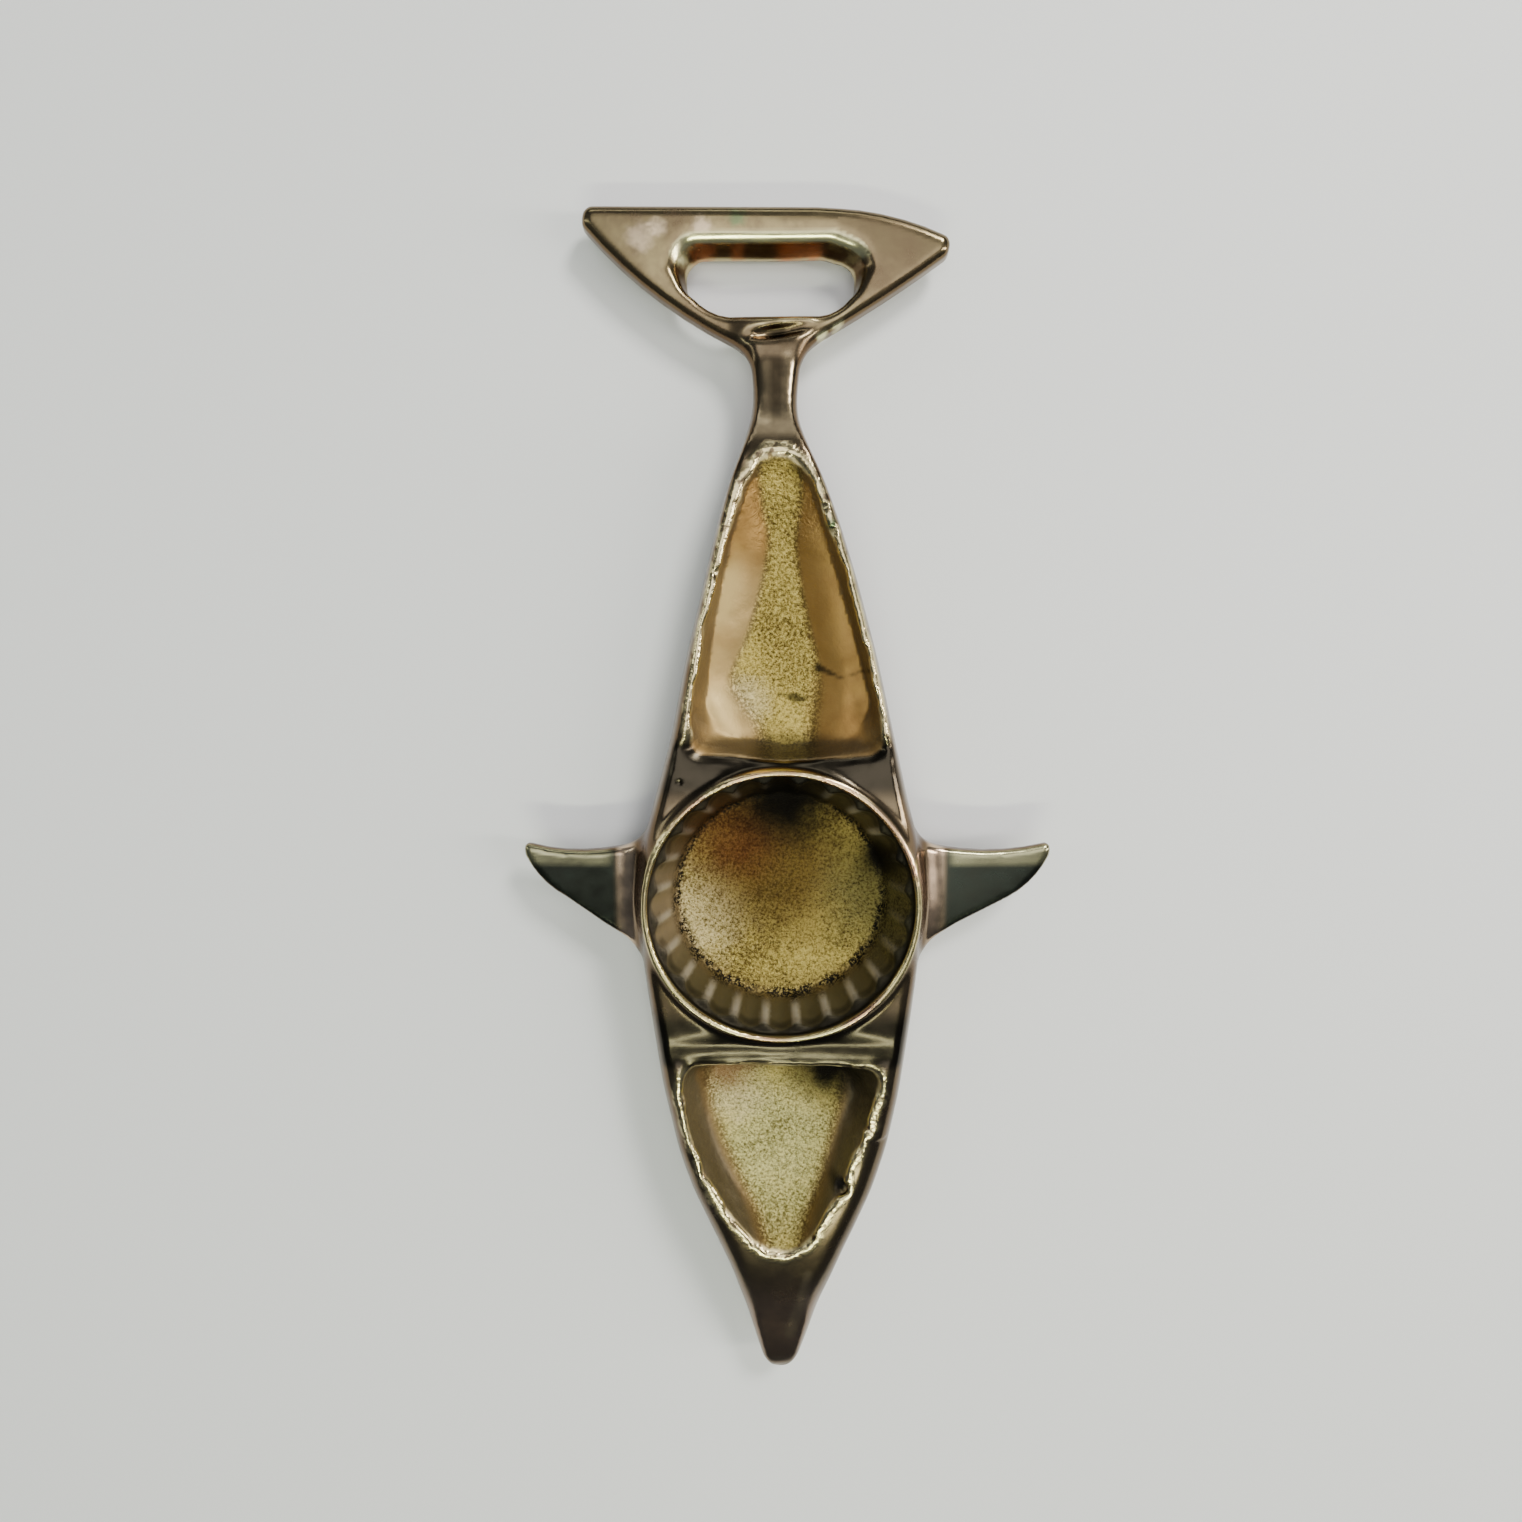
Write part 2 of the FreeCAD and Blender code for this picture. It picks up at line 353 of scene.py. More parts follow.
class Hollow:
    """One long cast hollow: a sandy bed between smooth cheeks, walled in up to its rim."""

    def __init__(self, rim, foot, bed, wall_curl, cheek_rise, cheek_width):
        self.rim = rim
        self.foot = foot
        self.floor, self.middle, self.bed_half = [profile(bed, column, 0.9) for column in (1, 2, 3)]
        self.wall_curl = wall_curl
        self.cheek_rise = cheek_rise
        self.cheek_width = cheek_width

    def off_bed(self, x, y):
        """How far a place is outside the sandy bed, sideways."""
        return np.abs(x - self.middle(y)) - self.bed_half(y)

    def field(self, x, y, z):
        """Negative where there is no metal."""
        inside = -outline_distance(x, y, self.rim, RIM_RADIUS)
        to_foot = np.maximum(outline_distance(x, y, self.foot, FOOT_RADIUS), 0)
        width = np.maximum(inside + to_foot, 0.3)
        climb = np.maximum(1 - inside / width, 0)
        cheek = np.sin(np.clip(self.off_bed(x, y) / self.cheek_width, 0, 1) * math.pi / 2)
        base = self.floor(y) + self.cheek_rise * cheek
        top = hull_deck(y) + 0.1
        drop = np.maximum(top - base, 2.0)
        height = base + drop * climb ** self.wall_curl
        slope = self.wall_curl * drop * climb ** (self.wall_curl - 1) / width
        space = (height - z) / np.sqrt(1.2 + slope ** 2)
        lumps = 0.09 * cast_swell(x, y, z) + 0.06 * cast_lump(x, y, z)
        rim = ease(z, top - 2.0, top - 0.3) * ease(np.abs(y), 19.0, 22.0)
        return space + lumps + rim * (0.34 * rim_nibble(x, y, z) + 0.12 * rim_fleck(x, y, z))


aft_hollow = Hollow(AFT_RIM, AFT_FOOT, AFT_BED, wall_curl=1.5, cheek_rise=2.0, cheek_width=4.4)
nose_hollow = Hollow(NOSE_RIM, NOSE_FOOT, NOSE_BED, wall_curl=1.9, cheek_rise=0.5, cheek_width=3.0)


def hull_field(x, y, z):
    half, middle, deck, keel, deck_half = [
        curve(y) for curve in (hull_half, hull_middle, hull_deck, hull_keel, hull_deck_half)]
    wide = np.minimum(HULL_WIDEST, (deck + keel) / 2 + 0.4)
    across = x - middle
    off_deck = np.maximum(np.abs(across) - deck_half, 0)
    shoulder = oval(off_deck, z - wide, half - deck_half, deck - wide, SHOULDER_POWER)
    belly = oval(across, z - wide, half, wide - keel, BELLY_POWER)
    hull = np.where(z > wide, shoulder, belly)
    hull = smooth_max(hull, BEAK_TIP - y, 2.2)
    return smooth_max(hull, y - TAIL_END, 1.0)


def beak_field(x, y, z):
    """The beak's top: a broad facet that leans left, a soft ridge, and a steep facet on the right."""
    ridge = 0.3 + 0.42 * (hull_half(y) - 1.4)
    top = hull_deck(y) + 0.25
    left = z - top - BEAK_LEAN_LEFT * (x - ridge)
    right = z - top + BEAK_LEAN_RIGHT * (x - ridge)
    facets = smooth_max(left, right, 1.5) / 1.1
    return np.where(y < BEAK_START, facets - 4.0 * ease(y, -57.0, -42.0), -FAR)


def ring_field(x, y, z):
    radius = np.hypot(x, y)
    ring = slab(radius - LIP_OUTSIDE, z - RING_TOP + RING_HALF, RING_HALF, RING_EDGE)
    return np.where(z < RING_FOOT, FAR, ring)


def tail_field(x, y, z):
    sag = PLATE_SAG * x
    outline = outline_distance(x, y, FLUKES, FLUKE_RADIUS) + PLATE_DRAFT * (z - PLATE_MIDDLE)
    plate = slab(outline, z - PLATE_MIDDLE - sag, PLATE_HALF, PLATE_EDGE)
    rise = np.clip((z - PLATE_MIDDLE + PLATE_HALF) / (2 * PLATE_HALF), 0, 1)
    behind = np.clip((y - SPREAD_FROM) / SPREAD_RUN, 0, 1)
    eased_y = np.where(y > HOOK_START, HOOK_START + (y - HOOK_START) / (1 + HOOK_SPREAD * rise), y)
    eased_x = WINDOW_MIDDLE + (x - WINDOW_MIDDLE) / (1 + WINDOW_SPREAD * rise * behind)
    window = outline_distance(eased_x, eased_y, WINDOW, WINDOW_RADIUS)
    return plate, window


def fin_outline(x, y, side):
    reach = FIN_REACH[side]
    corners = [
        (12.0, 7.0), *arc((17.5, 6.3), (24.0, 5.35), (reach - 0.8, 6.2), 6),
        *arc((reach - 0.9, 5.5), (reach - 2.6, 2.9), (reach - 5.5, 0.6), 5),
        (21.8, -2.8), (17.4, -5.6), (12.0, -6.0),
    ]
    return outline_distance(side * x, y, corners, FIN_RADIUS)


def fin_field(x, y, z, side):
    half = np.interp(side * x, (FIN_ROOT, FIN_REACH[side]), FIN_HALF)
    return slab(fin_outline(x, y, side), z - FIN_MIDDLE, half, FIN_EDGE)


def flute(x, y):
    """0 on each ridge of the socket's wall, 1 in the middle of each flute."""
    return np.sqrt(np.cos(np.arctan2(y, x) * FLUTES / 2) ** 2 + 0.015)


def socket_field(x, y, z):
    """The space inside the crown-cap socket, negative where there is no metal."""
    radius = np.hypot(x, y)
    rise = np.clip((z - FLOOR) / (SHELF - FLOOR), 0, 1)
    scallop = (0.15 + 0.85 * rise) * (flute(x, y) - 0.5)
    wall = WALL_FOOT + (WALL_TOP - WALL_FOOT) * rise ** 1.15 + scallop
    dish = FLOOR + 0.55 * (radius / WALL_FOOT) ** 2 + 0.06 * cast_lump(x, y, z)
    cup = smooth_max(radius - wall, dish - z, 0.9)
    cup = smooth_max(cup, z - SHELF, 0.35)
    throat = smooth_max(radius - LIP_INSIDE, SHELF - 0.2 - z, 0.25)
    return smooth_min(cup, throat, 0.25)


def soft_ramp(value, softness):
    """0 below zero, rising to the value itself, with a rounded start."""
    raised = np.maximum(value, 0)
    return np.sqrt(raised ** 2 + softness ** 2) - softness


def spaces_field(x, y, z):
    spaces = np.minimum(aft_hollow.field(x, y, z), nose_hollow.field(x, y, z))
    return np.minimum(spaces, socket_field(x, y, z))


def land_field(x, y, z):
    """The shallow valley in the deck between the ring and each hollow."""
    away = soft_ramp(np.abs(np.abs(y) - LAND_MIDDLE) - 0.8, 0.4)
    return z - (LAND_HEIGHT + 0.005 * x ** 2 + 0.5 * away)


def solid_field(x, y, z):
    """The casting before its hollows are taken out."""
    hull = smooth_max(hull_field(x, y, z), land_field(x, y, z), 0.8)
    hull = smooth_max(hull, beak_field(x, y, z), BEAK_EDGE)
    fins = np.minimum(fin_field(x, y, z, -1), fin_field(x, y, z, 1))
    body = smooth_min(hull, fins, FIN_FILLET)
    body = smooth_min(body, ring_field(x, y, z), RING_FILLET)
    plate, window = tail_field(x, y, z)
    body = smooth_min(body, plate, TAIL_FILLET)
    body = smooth_max(body, -window, WINDOW_EDGE)
    from_dimple = (x - DIMPLE[0], y - DIMPLE[1] - DIMPLE_TILT * x, z - DIMPLE[2])
    dimple = np.sqrt(sum((gap / size) ** 2 for gap, size in zip(from_dimple, DIMPLE_SIZE)))
    body = smooth_max(body, 0.75 * (1 - dimple), 0.6)
    return body + 0.05 * hand_polish(x, y, z)


def casting_field(x, y, z):
    end_blend = 0.3 + 1.3 * np.exp(-((np.abs(y) - 19.0) / 2.0) ** 2) * ease(np.hypot(x, y), 17.3, 18.3)
    metal = smooth_max(solid_field(x, y, z), -spaces_field(x, y, z), end_blend)
    for pit_x, pit_y, pit_z, radius in PITS:
        gap = np.sqrt((x - pit_x) ** 2 + (y - pit_y) ** 2 + (z - pit_z) ** 2)
        metal = smooth_max(metal, radius - gap, 0.2)
    return smooth_max(metal, -z, 0.3)


def axis_steps(low, high, step):
    count = int(math.ceil((high - low) / step)) + 1
    return low + step * np.arange(count)


def surface_net(step):
    """Points and four-sided faces on the field's zero surface, from a grid of cells."""
    pad = 2.3 * step
    xs = axis_steps(LOW_X - pad, HIGH_X + pad, step)
    ys = axis_steps(BEAK_TIP - pad, TAIL_BACK + pad, step)
    zs = axis_steps(LOW_Z - pad, RING_TOP + pad, step)
    values = np.empty((len(xs), len(ys), len(zs)))
    for index, x in enumerate(xs):
        values[index] = casting_field(x, ys[:, None], zs[None, :])
    inside = values < 0
    shape = np.array(values.shape) - 1
    total = np.zeros(tuple(shape) + (3,))
    count = np.zeros(tuple(shape))
    for axis in range(3):
        others = [other for other in range(3) if other != axis]
        low = [slice(None)] * 3
        high = [slice(None)] * 3
        low[axis] = slice(0, -1)
        high[axis] = slice(1, None)
        a, b = values[tuple(low)], values[tuple(high)]
        cut = inside[tuple(low)] != inside[tuple(high)]
        share = np.where(cut, a / np.where(cut, a - b, 1), 0)
        for bits in range(4):
            offsets = [0, 0, 0]
            offsets[others[0]] = bits & 1
            offsets[others[1]] = bits >> 1
            window = tuple(slice(o, o + n) for o, n in zip(offsets, shape))
            here = cut[window]
            count += here
            for other in others:
                total[..., other] += here * offsets[other]
            total[..., axis] += here * share[window]
    active = count > 0
    numbers = np.full(tuple(shape), -1)
    numbers[active] = np.arange(active.sum())
    cells = np.argwhere(active)
    local = total[active] / count[active][:, None]
    points = np.array([xs[0], ys[0], zs[0]]) + (cells + local) * step
    faces = []
    for axis in range(3):
        others = [(axis + 1) % 3, (axis + 2) % 3]
        low = [slice(1, -1)] * 3
        high = [slice(1, -1)] * 3
        low[axis] = slice(0, -1)
        high[axis] = slice(1, None)
        edge_in = inside[tuple(low)]
        edge_out = inside[tuple(high)]
        for flip, mask in ((False, edge_in & ~edge_out), (True, ~edge_in & edge_out)):
            corner = np.argwhere(mask)
            corner[:, others] += 1
            ring = []
            for d0, d1 in ((0, 0), (-1, 0), (-1, -1), (0, -1)):
                cell = corner.copy()
                cell[:, others[0]] += d0
                cell[:, others[1]] += d1
                ring.append(numbers[cell[:, 0], cell[:, 1], cell[:, 2]])
            ring = np.stack(ring, axis=1)
            faces.append(ring[:, ::-1] if flip else ring)
    return points, np.concatenate(faces)


def slope_at(points, nudge=0.02):
    x, y, z = points.T
    return np.stack([
        casting_field(x + nudge, y, z) - casting_field(x - nudge, y, z),
        casting_field(x, y + nudge, z) - casting_field(x, y - nudge, z),
        casting_field(x, y, z + nudge) - casting_field(x, y, z - nudge),
    ], axis=1) / (2 * nudge)


def settle(points, rounds=3):
    """Moves points onto the exact surface."""
    for _ in range(rounds):
        slope = slope_at(points)
        steep = np.maximum((slope ** 2).sum(axis=1), 0.05)
        move = (casting_field(*points.T) / steep)[:, None] * slope
        points = points - np.clip(move, -0.15, 0.15)
    return points


def line_distance(x, y, lines):
    """Distance in plan to the nearest of some straight lines."""
    nearest = np.inf
    for start, end in lines:
        run = np.subtract(end, start)
        along = np.clip(((x - start[0]) * run[0] + (y - start[1]) * run[1]) / (run @ run), 0, 1)
        gap = np.hypot(x - start[0] - run[0] * along, y - start[1] - run[1] * along)
        nearest = np.minimum(nearest, gap)
    return nearest


def bend_masks(points, normal):
    """How sharply the surface bends: outwards at an edge, inwards in a nook."""
    masks = {}
    for name, reach, sign in (("edge", 0.55, 1), ("nook", 1.6, -1)):
        above = casting_field(*(points + normal * reach).T)
        below = casting_field(*(points - normal * reach).T)
        masks[name] = np.clip(sign * (above + below) / reach, 0, 1)
    return masks


def hollow_masks(x, y, z, level, cast):
    """The finish inside the socket and the two long hollows, and where shade and highlights are painted
    there.
    """
    radius = np.hypot(x, y)
    in_socket = (radius < 16.6) * (cast > 0.01)
    floor_grain = ease(radius, 14.0, 12.0)
    fading = ease(y, 30.0, 25.0)
    aft_grain = ease(aft_hollow.off_bed(x, y), 0.8 + 0.8 * fading, -0.5 - 1.3 * fading)
    nose_side = nose_hollow.off_bed(x, y)
    nose_grain = ease(level, 0.15, 0.5) * ease(nose_side, 2.0, -0.4)
    hollow_grain = np.where(y > 0, aft_grain, nose_grain)
    # Painted shade: the shaded mask darkens under the socket's lip and the hollows' end walls
    under_lip = ease(z, SHELF - 0.8, SHELF - 0.2) * ease(radius, 14.6, 15.2)
    nose_end = ease(y, -23.5, -20.5) * (y < 0)
    end_wall = 0.55 * ease(y, 21.2, 19.6) * (y > 0) + 0.6 * nose_end
    nose_wall = np.maximum(nose_end, ease(nose_side, 0.4, 2.4))
    aft_wall = 0.65 * ease(level, 0.86, 0.55)
    from_crack = line_distance(x, y, CRACKS) + 0.35 * rim_nibble(x, y, z)
    on_ridge = ease(flute(x, y), 0.6, 0.2) * ease(radius, 13.2, 14.2)
    return {
        "grain": cast * np.where(in_socket, floor_grain, hollow_grain),
        "socket": 1.0 * in_socket,
        "shaded": cast * np.where(in_socket, under_lip, end_wall),
        "ridge": in_socket * on_ridge * (1 - under_lip),
        "wall": cast * (1 - in_socket) * np.where(y > 0, aft_wall, nose_wall),
        "crack": cast * ease(from_crack, 0.45, 0.12),
    }


def skin_masks(x, y, z, level, skin):
    """The finish of the polished outside: fins, hull, tail and the hook in its window, and where
    highlights and shade are painted on it.
    """
    radius = np.hypot(x, y)
    from_streak = line_distance(x, y, STREAKS) + 0.3 * hand_polish(x, y, z)
    beside_socket = ease(np.abs(y), 12.0, 8.0)
    # painted highlight: a pink line in the fillets at the fins' roots
    fin_root = ease(np.abs(np.abs(x) - 19.2), 1.5, 0.4) * ease(z, 4.6, 6.4)
    ends = ease(np.abs(y), 21.0, 19.8) * ease(np.abs(y), 12.0, 15.0)
    # painted highlights: along the fins' trailing edges and the crest of the hook in the window
    trailing = [ease(fin_outline(x, y, side), -0.75, -0.35) for side in (-1, 1)]
    fin_back = np.maximum(*trailing) * ease(np.abs(x), 20.5, 22.0) * ease(y, 3.8, 4.8) * (y < 9)
    in_window = ease(np.abs(x + 1.7), 13.0, 11.5) * ease(y, 75.8, 76.8) * ease(y, 79.9, 79.3)
    hook_lip = in_window * (z > PLATE_MIDDLE + 0.15) * ease(level, 0.985, 0.93) * ease(level, 0.55, 0.7)
    return {
        "streak": skin * ease(from_streak, 0.9, 0.1),
        "fin": skin * ease(np.abs(x), 19.9, 21.0) * (y < 30) * ease(level, 0.5, 0.9),
        "root": skin * beside_socket * fin_root,
        # painted shade on the lands between the ring and the hollows
        "land": skin * ease(radius, 16.9, 17.4) * ends * ease(level, 0.25, 0.7),
        "edge_highlight": skin * (0.35 * fin_back * ease(level, 0.2, 0.6) + hook_lip),
        "flank": skin * ease(level, 0.93, 0.45),
        "tail": ease(y, 66.0, 70.0),
    }


def finish_masks(points):
    """What the finish and its painted light and shade depend on, worked out for each point of the
    surface.
    """
    x, y, z = points.T
    normal = slope_at(points)
    normal /= np.linalg.norm(normal, axis=1)[:, None]
    level = normal[:, 2]
    buried = -spaces_field(x, y, z) - solid_field(x, y, z)
    cast = ease(buried, 0.15, 0.75)
    at_edge = ease(buried, -1.1, -0.5) * ease(buried, 0.9, 0.3) * ease(level, 0.1, 0.5)
    on_lip = ease(z, RING_TOP - 0.38, RING_TOP - 0.14) * ease(np.hypot(x, y), 17.0, 16.8)
    return {
        "as_cast": cast,
        "rim": at_edge * ease(np.abs(y), 19.6, 21.4),
        "lip": on_lip,
        **bend_masks(points, normal),
        **hollow_masks(x, y, z, level, cast),
        **skin_masks(x, y, z, level, 1 - cast),
    }


def make_casting():
    points, faces = surface_net(FINE_STEP)
    points = settle(points)
    mesh = bpy.data.meshes.new("opener_brass")
    mesh.from_pydata((points * MM + SOCKET_AXIS).tolist(), [], faces.tolist())
    mesh.shade_smooth()
    for name, values in finish_masks(points).items():
        mask = mesh.attributes.new(name, "FLOAT", "POINT")
        mask.data.foreach_set("value", values.astype(np.float32))
    casting = bpy.data.objects.new("opener_brass", mesh)
    bpy.context.collection.objects.link(casting)
    return casting


# Camera: its place from the socket's axis and its lens in millimetres, its tip in degrees
CAMERA_PLACE = np.array([-2.44, 36.8, 140.0])
CAMERA_TIP = -8.33
CAMERA_LENS = 26.02
SENSOR_WIDTH = 36.0


def make_camera():
    data = bpy.data.cameras.new("camera")
    data.sensor_width = SENSOR_WIDTH
    data.lens = CAMERA_LENS
    data.clip_start = 0.005
    camera = bpy.data.objects.new("camera", data)
    camera.location = SOCKET_AXIS + CAMERA_PLACE * MM
    camera.rotation_euler = (math.radians(CAMERA_TIP), 0, 0)
    bpy.context.collection.objects.link(camera)
    bpy.context.scene.camera = camera


class Value:
    """A shader socket that takes part in sums, so that maths reads as maths."""

    def __init__(self, shader, socket):
        self.shader = shader
        self.socket = socket

    def _math(self, operation, first, second):
        return self.shader.node("ShaderNodeMath", {"operation": operation}, first, second)

    def __add__(self, other):
        return self._math("ADD", self, other)

    def __radd__(self, other):
        return self._math("ADD", other, self)

    def __sub__(self, other):
        return self._math("SUBTRACT", self, other)

    def __rsub__(self, other):
        return self._math("SUBTRACT", other, self)

    def __mul__(self, other):
        return self._math("MULTIPLY", self, other)

    def __rmul__(self, other):
        return self._math("MULTIPLY", other, self)


class Shader:
    """One node material, built a node at a time."""

    def __init__(self, name):
        self.material = bpy.data.materials.new(name)
        self.material.use_nodes = True
        self.tree = self.material.node_tree
        self.tree.nodes.clear()

    def node(self, kind, settings, *inputs, output=0, **named):
        made = self.tree.nodes.new(kind)
        for key, value in settings.items():
            setattr(made, key, value)
        for key, value in list(enumerate(inputs)) + list(named.items()):
            if isinstance(key, str):
                key = key.replace("_", " ")
            if isinstance(value, Value):
                self.tree.links.new(value.socket, made.inputs[key])
            elif value is not None:
                made.inputs[key].default_value = value
        return Value(self, made.outputs[output]) if made.outputs else None

    def mask(self, name):
        return self.node("ShaderNodeAttribute", {"attribute_name": name}, output="Fac")

    def step(self, value, low, high):
        settings = {"interpolation_type": "SMOOTHSTEP"}
        return self.node("ShaderNodeMapRange", settings, value, low, high, 0.0, 1.0)

    def noise(self, where, scale, detail=3.0, roughness=0.55, distortion=0.0):
        return self.node("ShaderNodeTexNoise", {}, Vector=where, Scale=scale, Detail=detail,
                         Roughness=roughness, Distortion=distortion)

    def mix(self, share, first, second):
        """A blend of two colours. Sockets 1 to 5 of the node are for its other types."""
        colours = [colour if isinstance(colour, Value) else (*colour, 1) for colour in (first, second)]
        settings = {"data_type": "RGBA", "clamp_factor": True}
        unused = [None] * 5
        return self.node("ShaderNodeMix", settings, share, *unused, *colours, output=2)


# Tints of the brass, with painted highlights and painted shade among them
HULL_BROWN = (0.150, 0.116, 0.072)
DARK_PATINA = (0.092, 0.068, 0.042)
LAND_SHADE = (0.028, 0.025, 0.019)
ROOT_HIGHLIGHT_PINK = (0.72, 0.54, 0.38)
HIGHLIGHT_GOLD = (0.86, 0.82, 0.46)
WARM_COPPER = (0.62, 0.27, 0.12)
TAIL_GOLD = (0.235, 0.19, 0.10)
TAIL_BROWN = (0.14, 0.10, 0.06)
BEAK_BROWN = (0.27, 0.185, 0.135)
FLANK_COPPER = (0.13, 0.075, 0.036)
FIN_OLIVE = (0.036, 0.046, 0.038)
WORN_EDGE = (0.74, 0.64, 0.36)
STREAK_WEAR_AND_SHEEN = (0.42, 0.33, 0.20)
LIP_PINK = (0.60, 0.36, 0.22)
LIP_GOLD = (0.58, 0.50, 0.24)
RIM_GOLD = (0.62, 0.53, 0.29)
CHEEK_TAN = (0.33, 0.20, 0.060)
CHEEK_BROWN = (0.21, 0.115, 0.032)
CHEEK_PALE = (0.56, 0.42, 0.19)
SAND_GOLD = (0.66, 0.53, 0.15)
SAND_DARK = (0.070, 0.045, 0.010)
SAND_PALE = (0.80, 0.76, 0.34)
SAND_OLIVE = (0.13, 0.115, 0.035)
SAND_HIGHLIGHT_CREAM = (0.84, 0.72, 0.44)
FLOOR_SHADE_DARK = (0.040, 0.024, 0.006)
FLOOR_SHADE_GOLD = (0.150, 0.095, 0.022)
COPPER_DARK = (0.052, 0.018, 0.005)
COPPER_BLUSH = (0.150, 0.052, 0.014)
RUST = (0.30, 0.17, 0.08)
OLIVE_TARNISH = (0.20, 0.175, 0.06)
# Near black: painted shade in the socket, its nooks, under the lip and at the hollows' ends, and the dark
# of cracks, pits, grains and the dimple
SHADE_AND_GRIME_BLACK = (0.006, 0.005, 0.003)
WALL_TARNISH = (0.11, 0.092, 0.042)
WALL_TAN = (0.27, 0.215, 0.13)
RIDGE_HIGHLIGHT_GREY = (0.62, 0.57, 0.46)
HOLLOW_WALL = (0.13, 0.105, 0.062)
VERDIGRIS = (0.10, 0.19, 0.09)
PALE_BLOTCH = (0.60, 0.48, 0.33)

# Soft-edged spots, each x, y and radius: stains, and also painted highlights, painted light and painted
# shade
SOCKET_FLOOR_SHADE = [(-0.2, 3.2, 15.0)]
COPPER_STAINS = [(-6.2, 7.6, 9.5)]
RUST_STAINS = [(-6.6, -22.0, 5.0)]
OLIVE_STAINS = [(12.0, -0.5, 10.0)]
# Painted shadows: across the socket's tail side and its right wall, at the nose hollow's top right, and
# in a pocket by a pit
PAINTED_SHADOWS = [(0.6, 12.4, 8.8), (12.6, 5.0, 3.8), (6.8, -21.8, 8.6), (7.6, -36.6, 1.8)]
DIMPLE_DARKENING = [(-0.4, 67.9, 1.8)]
GREEN_STAINS = [(-5.2, 80.4, 1.5), (5.6, 45.6, 0.9)]
PALE_STAINS = [(-16.4, 78.3, 2.2), (-14.4, 79.4, 1.5), (-9.3, 79.4, 1.6)]
NOSE_STAINS = [(-1.0, -33.0, 17.0)]
LIT_SAND_SPOTS = [(-10.5, -3.0, 9.0), (-7.0, -25.5, 7.0), (-4.6, 24.6, 4.4)]
TAIL_RIGHT_SHADE = [(12.0, 76.0, 11.0)]
BEAK_PAINTED_LIGHT = [(0.5, -57.0, 10.5)]
GLINTS = [(-12.1, 76.7, 1.7), (8.7, 77.1, 1.7), (6.3, 68.9, 1.2), (4.6, 67.6, 1.0)]
WARM_GLEAMS = [(-9.4, 77.3, 2.2), (-5.2, 77.2, 1.3), (0.8, 77.3, 2.3), (3.6, 77.2, 1.8)]
WRINKLES = [(-0.3, 49.5, 9.0)]
LIT_CHEEKS = [(-6.0, 36.0, 9.0), (-5.0, 22.5, 7.0), (-5.0, 28.0, 7.0)]
LIT_WALLS = [(-15.0, -1.0, 12.0)]


def stain_and_light_spots(shader, place, spots, ragged, wander=0.9):
    """How far each point is into any of the soft-edged spots."""
    flat = shader.node("ShaderNodeVectorMath", {"operation": "MULTIPLY"}, place, (1.0, 1.0, 0.0))
    total = 0.0
    for x, y, radius in spots:
        centre = (x * MM + SOCKET_AXIS[0], y * MM + SOCKET_AXIS[1], 0.0)
        gap = shader.node("ShaderNodeVectorMath", {"operation": "DISTANCE"}, flat, centre, output="Value")
        total = total + shader.step(gap * (1.0 / (radius * MM)) + wander * (ragged - 0.5), 1.0, 0.2)
    return total


def polished_colour(shader, place, clouds, smears, specks, patina):
    """The outside: brown patina, worn to gold where hands and caps rub it, copper-brown on the flanks,
    with painted highlights in gold, pink and copper and painted shade on the lands and flanks.
    """
    edge, flank, fin, root, land, tail, edge_highlight, streak = [
        shader.mask(name) for name in (
            "edge", "flank", "fin", "root", "land", "tail", "edge_highlight", "streak")]
    colour = shader.mix(patina, HULL_BROWN, DARK_PATINA)
    colour = shader.mix(tail, colour, shader.mix(patina, TAIL_GOLD, TAIL_BROWN))
    # darker copper on the steep sides: partly patina, partly painted shade
    colour = shader.mix(0.8 * flank, colour, FLANK_COPPER)
    # painted shade, near black, on the lands between the ring and the hollows
    colour = shader.mix(0.92 * land, colour, LAND_SHADE)
    # dark olive on the fins: partly tarnish, partly a painted dark reflection
    colour = shader.mix(fin * (0.80 + 0.2 * smears), colour, FIN_OLIVE)
    # painted highlight, pink, in the fillets at the fins' roots
    colour = shader.mix(root * shader.step(clouds, 0.25, 0.6), colour, ROOT_HIGHLIGHT_PINK)
    colour = shader.mix(0.55 * stain_and_light_spots(shader, place, PALE_STAINS, specks), colour, PALE_BLOTCH)
    # painted shade: a darker brown over the tail's right side
    colour = shader.mix(0.5 * stain_and_light_spots(shader, place, TAIL_RIGHT_SHADE, clouds), colour, TAIL_BROWN)
    # painted light: a lighter brown over the beak
    colour = shader.mix(0.7 * stain_and_light_spots(shader, place, BEAK_PAINTED_LIGHT, clouds), colour, BEAK_BROWN)
    colour = shader.mix(0.8 * shader.step(edge, 0.12, 0.5), colour, WORN_EDGE)
    sloped = shader.step(flank, 0.02, 0.3)
    gleams = sloped * stain_and_light_spots(shader, place, WARM_GLEAMS, specks)
    colour = shader.mix(0.85 * gleams, colour, WARM_COPPER)
    glints = sloped * stain_and_light_spots(shader, place, GLINTS, specks)
    colour = shader.mix(0.9 * glints, colour, HIGHLIGHT_GOLD)
    # painted highlights, gold, along the fins' trailing edges and the hook's crest
    colour = shader.mix(0.9 * edge_highlight, colour, HIGHLIGHT_GOLD)
    # a painted highlight along the beak's ridge, worn patina down the shank
    return shader.mix(0.5 * streak, colour, STREAK_WEAR_AND_SHEEN)


